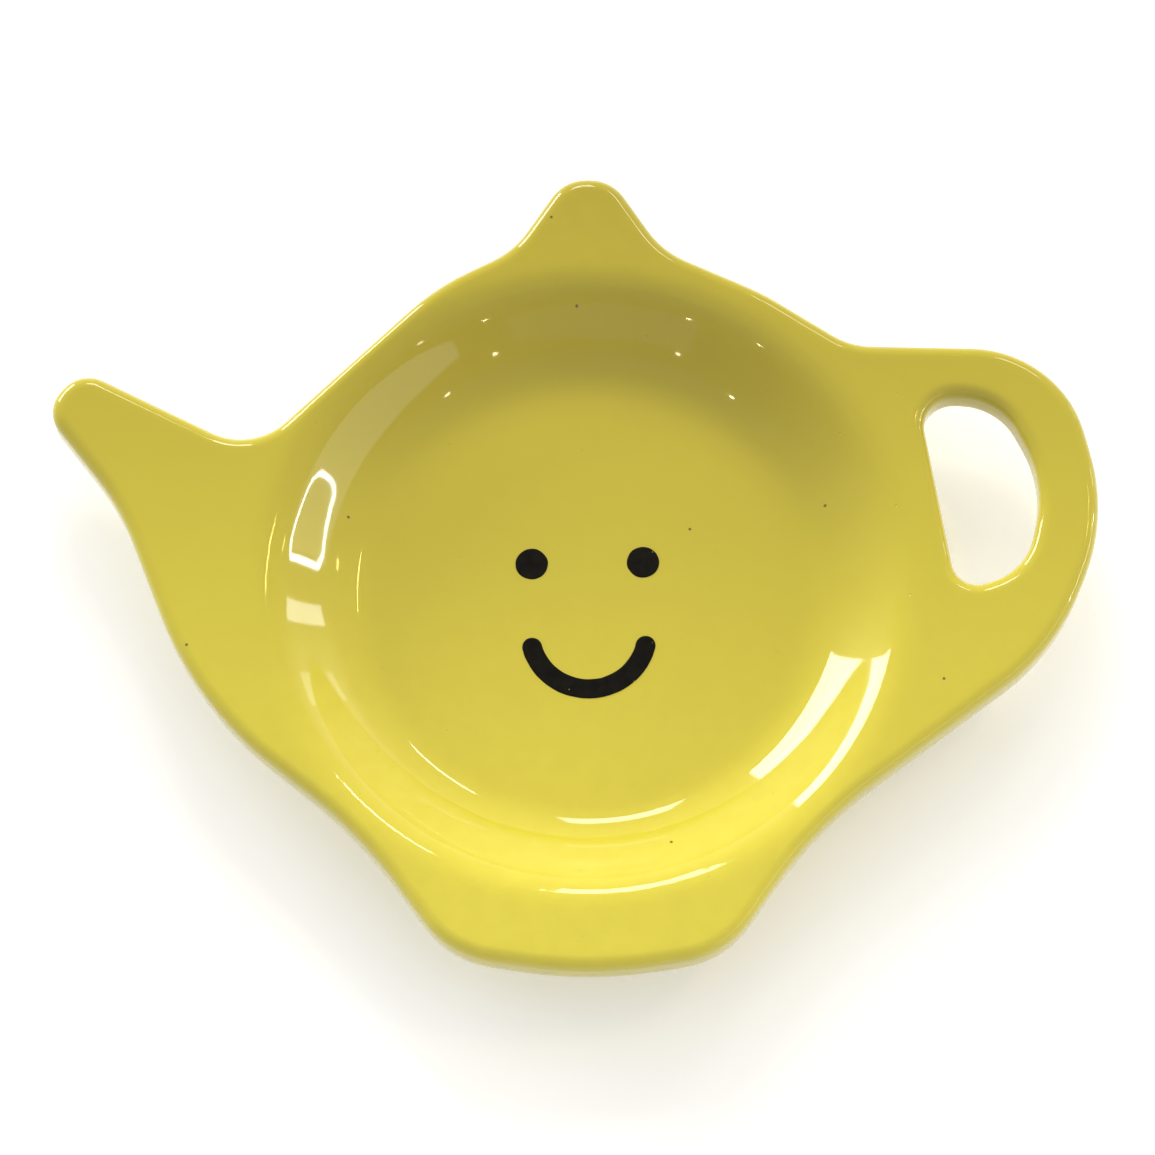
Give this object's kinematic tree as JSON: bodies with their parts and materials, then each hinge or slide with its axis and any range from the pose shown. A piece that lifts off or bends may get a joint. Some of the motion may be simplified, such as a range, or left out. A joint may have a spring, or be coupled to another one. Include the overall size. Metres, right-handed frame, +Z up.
{
  "type": "tea bag rest",
  "caption": "Flat teapot-shaped dish with a round well that takes a wet tea bag, a looped handle, a dry foot ring below and a smiling face printed on the floor of the well.",
  "frame": {"origin": "middle of the foot ring, in the plane of the table, straight under the middle of the well", "axes": "+Z up, out of the well; +X to the handle, -X to the spout; +Y to the lid's knob"},
  "size_m": [0.1252, 0.0989, 0.0147],
  "materials": {
    "bare_clay": "matt, a little gritty",
    "yellow_glaze": "gloss",
    "black_print": "gloss"
  },
  "bodies": {
    "root": {"dish": "yellow_glaze", "foot_ring": "bare_clay", "left_eye": "black_print", "right_eye": "black_print", "smile": "black_print"}
  },
  "joints": []
}
